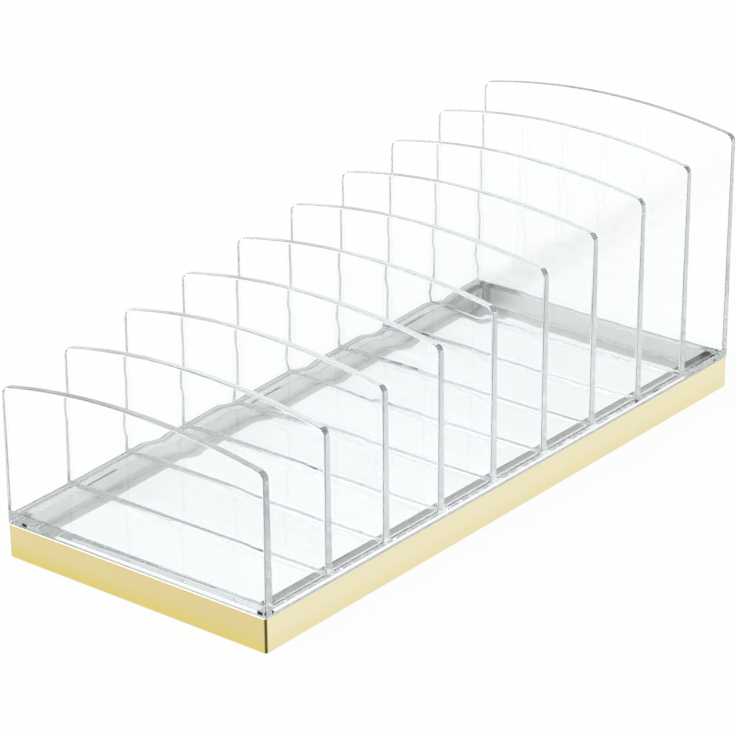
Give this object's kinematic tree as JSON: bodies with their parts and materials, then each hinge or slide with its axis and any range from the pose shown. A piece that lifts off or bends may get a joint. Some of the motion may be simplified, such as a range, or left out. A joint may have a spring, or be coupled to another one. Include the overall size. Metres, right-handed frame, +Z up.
{
  "type": "vanity organizer",
  "caption": "Clear moulded vanity organizer with a row of graduated arched dividers for palettes and compacts, standing in a gold base frame.",
  "frame": {"origin": "on the table under the middle of the base", "axes": "+X to the right, +Y from the low front to the tall back, +Z up"},
  "size_m": [0.098, 0.235, 0.0929],
  "materials": {
    "clear_plastic": "clear, polished",
    "gold_finish": "bright metallised gold",
    "soft_foot": "matte"
  },
  "bodies": {
    "root": {"organizer_body": "clear_plastic", "base_frame": "gold_finish", "foot_front_left": "soft_foot", "foot_front_right": "soft_foot", "foot_back_left": "soft_foot", "foot_back_right": "soft_foot"}
  },
  "joints": []
}
